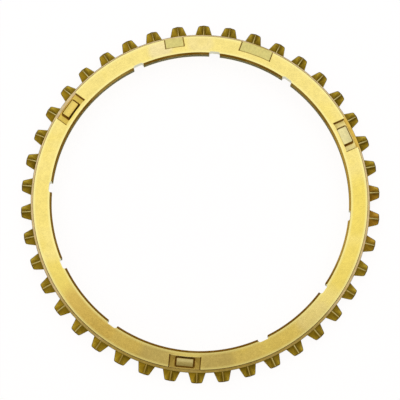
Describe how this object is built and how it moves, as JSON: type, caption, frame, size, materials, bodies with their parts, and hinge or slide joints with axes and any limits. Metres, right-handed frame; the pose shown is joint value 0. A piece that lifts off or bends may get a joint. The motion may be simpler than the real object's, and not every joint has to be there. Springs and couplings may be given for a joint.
{
  "type": "synchronizer ring",
  "caption": "Brass blocker ring with pointed teeth, open key slots, shallow notches and an oil-grooved friction cone.",
  "frame": {"origin": "on the ring's axis in the plane of the back face, which it rests on", "axes": "+Z along the ring's axis, from the gear side to the hub side; +X and +Y lie in the back face"},
  "size_m": [0.13, 0.13, 0.01],
  "materials": {
    "brass": "machined satin"
  },
  "bodies": {
    "root": {"synchronizer_ring": "brass"}
  },
  "joints": []
}
